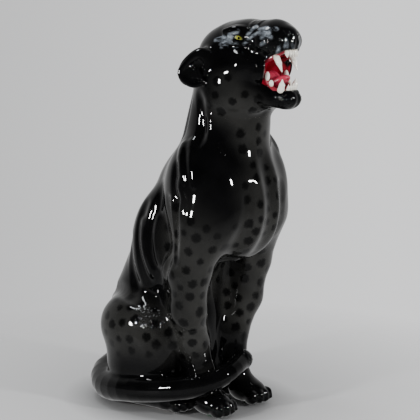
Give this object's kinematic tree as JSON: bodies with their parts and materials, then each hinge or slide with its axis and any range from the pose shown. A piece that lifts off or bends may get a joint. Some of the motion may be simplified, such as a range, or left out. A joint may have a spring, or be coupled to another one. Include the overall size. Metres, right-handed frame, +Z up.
{
  "type": "figural television lamp",
  "caption": "Seated snarling big cat in black glazed ceramic, hollow, with a keyed lampholder and bulb behind a light window in its back.",
  "frame": {"origin": "middle of the base felt's underside line, on the surface the lamp stands on, in the cat's plane of symmetry", "axes": "+Z up, the cat faces -Y, +X is the cat's left; the light window opens towards +Y"},
  "size_m": [0.1502, 0.2228, 0.3711],
  "materials": {
    "black_glaze": "high gloss black glaze, smoked grey and spotted in places",
    "eye_glaze": "gloss yellow green with a dark pupil",
    "white_glaze": "gloss ivory white",
    "pink_glaze": "gloss pink red",
    "felt": "dark green wool felt",
    "brass": "satin, slightly tarnished",
    "zinc_steel": "zinc plated, satin",
    "bakelite": "moulded brown black",
    "fibre_paper": "pressed fibre",
    "rubber": "black",
    "lamp_glass": "inside frosted",
    "tungsten": "dark grey wire"
  },
  "bodies": {
    "figure": {"body_casting": "black_glaze", "head_casting": "black_glaze", "eye_left": "eye_glaze", "eye_right": "eye_glaze", "upper_teeth": "white_glaze", "lower_teeth": "white_glaze", "tongue": "pink_glaze", "base_felt": "felt", "paw_felt_left": "felt", "paw_felt_right": "felt", "lamp_pipe": "zinc_steel", "lower_washer": "zinc_steel", "upper_washer": "zinc_steel", "lower_nut": "brass", "upper_nut": "brass", "holder_cap": "brass", "set_screw": "zinc_steel", "holder_core": "bakelite", "terminal_screw_left": "brass", "terminal_screw_right": "brass", "fibre_liner": "fibre_paper", "holder_shell": "brass", "screw_shell": "brass", "centre_contact": "brass", "cord_grommet": "rubber"},
    "key": {"key_spindle": "brass", "key_knob": "bakelite"},
    "bulb": {"bulb_contact": "zinc_steel", "bulb_insulator": "bakelite", "bulb_cap": "brass", "bulb_glass": "lamp_glass", "filament_stem": "lamp_glass", "filament_lead_left": "zinc_steel", "filament_lead_right": "zinc_steel", "filament": "tungsten"}
  },
  "joints": [
    {"name": "key_turn", "type": "hinge", "parent": "figure", "child": "key", "pos_m": [0, 0.024, 0.056], "axis": [0, 1, 0], "continuous": true},
    {"name": "bulb_draw", "type": "slide", "parent": "figure", "child": "bulb", "axis": [0, 0, 1], "range_m": [0, 0.027]}
  ]
}
